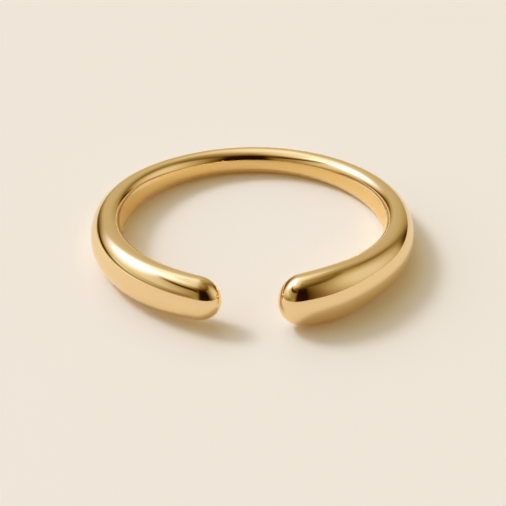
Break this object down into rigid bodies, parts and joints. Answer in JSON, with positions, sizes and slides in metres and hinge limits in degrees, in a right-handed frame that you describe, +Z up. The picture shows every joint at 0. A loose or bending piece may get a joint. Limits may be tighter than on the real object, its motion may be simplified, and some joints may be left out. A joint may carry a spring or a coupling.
{
  "type": "open cuff ring",
  "caption": "Open cuff ring in polished yellow gold: a slim back that swells along both arms to rounded tips with a narrow gap between them, lying on its side.",
  "frame": {"origin": "on the table, under the middle of the resting ring's bounding box", "axes": "+Z up from the table; the gap between the tips faces -Y; the back of the band is at +Y; the fuller arm is at +X"},
  "size_m": [0.021, 0.0206, 0.0036],
  "materials": {
    "polished_gold": "mirror-polished yellow gold"
  },
  "bodies": {
    "root": {"cuff_band": "polished_gold"}
  },
  "joints": []
}
